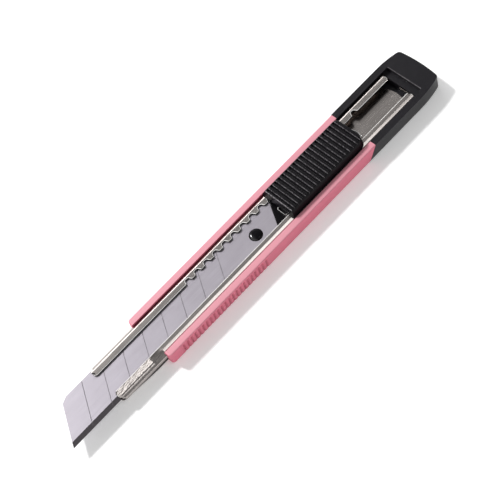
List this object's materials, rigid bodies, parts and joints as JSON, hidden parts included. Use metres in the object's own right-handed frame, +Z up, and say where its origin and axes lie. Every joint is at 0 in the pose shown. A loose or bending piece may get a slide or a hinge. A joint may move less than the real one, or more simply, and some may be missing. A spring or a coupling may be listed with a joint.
{
  "type": "snap-off blade cutter",
  "caption": "Slim slide cutter with a scored snap-off blade in a folded steel sheath, a ribbed thumb slider, a moulded handle and a pull-off end cap.",
  "frame": {"origin": "on the flat underside, halfway along the handle and across it", "axes": "+X from the blade's point towards the end cap, +Y towards the blade's back edge, +Z up through the thumb slider"},
  "size_m": [0.1052, 0.0122, 0.0055],
  "materials": {
    "pink_plastic": "satin moulded",
    "black_plastic": "fine-grained moulded",
    "sheath_steel": "rolled sheet",
    "blade_steel": "ground",
    "spring_steel": "bright rolled strip"
  },
  "bodies": {
    "handle": {"handle_shell": "pink_plastic", "blade_sheath": "sheath_steel"},
    "carriage": {"blade_carrier": "black_plastic", "snap_off_blade": "blade_steel", "lock_spring": "spring_steel"},
    "knob": {"thumb_knob": "black_plastic"},
    "cap": {"end_cap": "black_plastic"}
  },
  "joints": [
    {"name": "blade_slide", "type": "slide", "parent": "handle", "child": "carriage", "axis": [1, 0, 0], "range_m": [-0.03423, 0.01503]},
    {"name": "knob_release", "type": "slide", "parent": "carriage", "child": "knob", "axis": [1, 0, 0], "range_m": [0, 0.001], "stiffness_N_per_m": 1500, "deforming": ["lock_spring"]},
    {"name": "cap_pull", "type": "slide", "parent": "handle", "child": "cap", "axis": [1, 0, 0], "range_m": [0, 0.018]}
  ]
}
